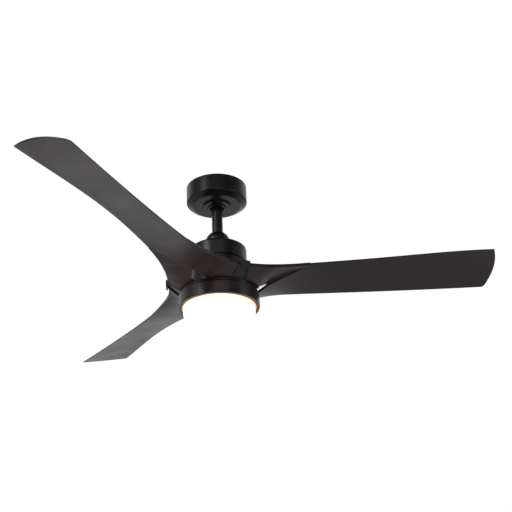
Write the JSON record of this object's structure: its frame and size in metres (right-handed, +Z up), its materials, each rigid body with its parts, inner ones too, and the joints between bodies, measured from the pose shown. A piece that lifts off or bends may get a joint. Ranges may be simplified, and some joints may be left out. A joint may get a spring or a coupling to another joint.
{
  "type": "ceiling fan with light",
  "caption": "Ceiling fan with twisted blades on a downrod and a round LED light kit with an opal diffuser below the motor.",
  "frame": {"origin": "centre of the hanger bracket's top face, midway between its two outlet-box slots, on the ceiling plane", "axes": "+Z up, so the fan hangs along -Z; +X along blade_1 and along the line of the two slots"},
  "size_m": [1.0683, 1.2105, 0.3569],
  "materials": {
    "black_steel": "matte black powder coat",
    "ring_steel": "satin very dark brown-black paint",
    "black_aluminium": "die-cast, satin black paint",
    "blade_plastic": "moulded, satin, espresso black with a faint brown cast",
    "black_plastic": "moulded, satin black",
    "white_plastic": "moulded, matt white",
    "zinc_steel": "zinc plated",
    "core_steel": "laminated electrical steel",
    "bearing_steel": "ground steel",
    "bare_aluminium": "plain sheet",
    "copper_wire": "enamelled copper winding",
    "magnet": "sintered ferrite",
    "circuit_board": "solder mask",
    "led_board_white": "white solder mask on aluminium",
    "led_chip": "phosphor under clear resin",
    "foam_rubber": "closed-cell, matt",
    "wire_rubber": "insulated leads",
    "earth_green": "green passivated",
    "amber_gasket": "translucent silicone, lit from inside",
    "opal": "opal acrylic, lit from inside"
  },
  "bodies": {
    "ceiling_mount": {"hanger_bracket": "zinc_steel", "canopy": "black_steel", "canopy_screws": "zinc_steel", "canopy_screw_cover": "black_steel", "canopy_collar": "black_steel", "receiver_case": "black_plastic", "receiver_pad": "foam_rubber", "terminal_block": "white_plastic", "terminal_screws": "zinc_steel", "ground_screw": "earth_green"},
    "hanging_frame": {"hanger_ball": "black_plastic", "ball_cross_pin": "zinc_steel", "ball_set_screw": "zinc_steel", "downrod": "black_steel", "motor_coupling": "black_steel", "coupling_pin": "zinc_steel", "coupling_clip": "zinc_steel", "coupling_set_screws": "zinc_steel", "coupling_cover": "black_steel", "motor_cover": "black_steel", "motor_cover_screws": "zinc_steel", "motor_shaft": "zinc_steel", "stator_core": "core_steel", "stator_insulators": "white_plastic", "stator_coils": "copper_wire", "bearing_inner_races": "bearing_steel", "bearing_balls": "bearing_steel", "wire_harness": "wire_rubber", "light_pan": "black_steel", "shaft_nut": "zinc_steel", "light_ring": "ring_steel", "light_ring_screws": "zinc_steel", "led_driver": "white_plastic", "motor_controller": "circuit_board", "led_heat_sink": "bare_aluminium", "led_board": "led_board_white", "led_board_screws": "zinc_steel", "leds": "led_chip", "bayonet_clips": "white_plastic", "diffuser_gasket": "amber_gasket"},
    "rotor": {"rotor_shell": "black_aluminium", "rotor_magnets": "magnet", "rotor_end_cover": "black_aluminium", "end_cover_screws": "zinc_steel", "bearing_outer_races": "bearing_steel", "blade_holder": "black_aluminium", "holder_screws": "zinc_steel", "arm_caps": "black_plastic", "blade_1": "blade_plastic", "blade_2": "blade_plastic", "blade_3": "blade_plastic", "blade_gaskets": "foam_rubber", "blade_screws": "zinc_steel", "blade_washers": "zinc_steel"},
    "diffuser": {"diffuser": "opal"}
  },
  "joints": [
    {"name": "hanger_swing", "type": "hinge", "parent": "ceiling_mount", "child": "hanging_frame", "pos_m": [0, 0, -0.024], "axis": [1, 0, 0], "range_deg": [-6.5, 6.5]},
    {"name": "rotor_spin", "type": "hinge", "parent": "hanging_frame", "child": "rotor", "pos_m": [0, 0, -0.26], "axis": [0, 0, 1], "continuous": true},
    {"name": "diffuser_twist", "type": "hinge", "parent": "hanging_frame", "child": "diffuser", "pos_m": [0, 0, -0.33], "axis": [0, 0, 1], "range_deg": [0, 24]}
  ]
}
